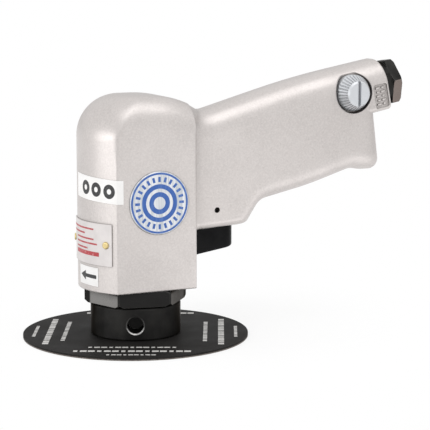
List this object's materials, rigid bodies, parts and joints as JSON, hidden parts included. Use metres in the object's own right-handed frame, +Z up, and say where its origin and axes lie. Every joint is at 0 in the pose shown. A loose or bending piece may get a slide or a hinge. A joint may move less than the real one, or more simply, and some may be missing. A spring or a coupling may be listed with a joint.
{
  "type": "air disc sander",
  "caption": "Small pistol-grip air sander: cast motor head with a vane motor and spindle, rising rear handle with throttle trigger, air regulator and inlet, and a flat round sanding disc below.",
  "frame": {"origin": "centre of the abrasive face, on the spindle axis", "axes": "+Z up along the spindle axis, +X from the head along the handle to the air inlet, +Y to the side away from the regulator dial"},
  "size_m": [0.1813, 0.1, 0.1196],
  "materials": {
    "cast_aluminium": "bead blasted satin",
    "plate_metal": "satin",
    "badge_metal": "satin",
    "brass": "satin",
    "black_steel": "black oxide",
    "bright_steel": "ground",
    "dial_chrome": "satin plated",
    "rubber": "matte",
    "black_plastic": "gloss",
    "felt": "matte",
    "grey_iron": "ground",
    "phenolic": "matte",
    "fibre_pad": "satin",
    "abrasive": "gritty"
  },
  "bodies": {
    "tool_body": {"housing": "cast_aluminium", "data_plate": "plate_metal", "plate_rivets": "brass", "emblem_disc": "badge_metal", "inlet_bushing": "black_steel", "inlet_seal": "rubber", "inlet_screen": "bright_steel", "valve_bush": "brass", "bush_seals": "rubber", "trigger_pin": "black_steel", "exhaust_silencer": "felt", "exhaust_grille": "black_plastic", "grille_screws": "black_steel", "clamp_nut": "black_steel", "dust_seal": "felt", "lower_plate": "grey_iron", "upper_plate": "grey_iron", "motor_cylinder": "grey_iron", "cylinder_pins": "bright_steel", "motor_gasket": "rubber", "lower_bearing_outer": "bright_steel", "upper_bearing_outer": "bright_steel"},
    "spindle": {"rotor": "bright_steel", "rotor_vanes": "phenolic", "lower_bearing_inner": "bright_steel", "upper_bearing_inner": "bright_steel", "disc_hub": "black_steel", "backing_pad": "fibre_pad", "abrasive_disc": "abrasive", "clamp_screw": "bright_steel"},
    "lower_ball_set": {"lower_bearing_balls": "bright_steel", "lower_bearing_cage": "brass"},
    "upper_ball_set": {"upper_bearing_balls": "bright_steel", "upper_bearing_cage": "brass"},
    "trigger_slider": {"trigger": "black_plastic"},
    "valve": {"throttle_valve": "bright_steel", "valve_seal": "rubber", "valve_spring": "bright_steel"},
    "regulator": {"regulator_dial": "dial_chrome", "regulator_seal": "rubber", "regulator_clip": "bright_steel"}
  },
  "joints": [
    {"name": "spindle_spin", "type": "hinge", "parent": "tool_body", "child": "spindle", "pos_m": [0, 0, 0], "axis": [0, 0, 1], "continuous": true},
    {"name": "lower_balls_spin", "type": "hinge", "parent": "tool_body", "child": "lower_ball_set", "pos_m": [0, 0, 0], "axis": [0, 0, 1], "continuous": true},
    {"name": "upper_balls_spin", "type": "hinge", "parent": "tool_body", "child": "upper_ball_set", "pos_m": [0, 0, 0], "axis": [0, 0, 1], "continuous": true},
    {"name": "trigger_slide", "type": "slide", "parent": "tool_body", "child": "trigger_slider", "axis": [0, 0, 1], "range_m": [0, 0.004], "stiffness_N_per_m": 1500, "springref_m": -0.004},
    {"name": "valve_slide", "type": "slide", "parent": "tool_body", "child": "valve", "axis": [0, 0, 1], "range_m": [0, 0.004], "deforming": ["valve_spring"]},
    {"name": "regulator_turn", "type": "hinge", "parent": "tool_body", "child": "regulator", "pos_m": [0.1029, -0.009, 0.10499], "axis": [0, -1, 0], "range_deg": [-90, 0]}
  ],
  "couplings": [
    {"joint": "lower_balls_spin", "follows": "spindle_spin", "ratio": 0.37111},
    {"joint": "upper_balls_spin", "follows": "spindle_spin", "ratio": 0.36467},
    {"joint": "valve_slide", "follows": "trigger_slide", "ratio": 1}
  ]
}
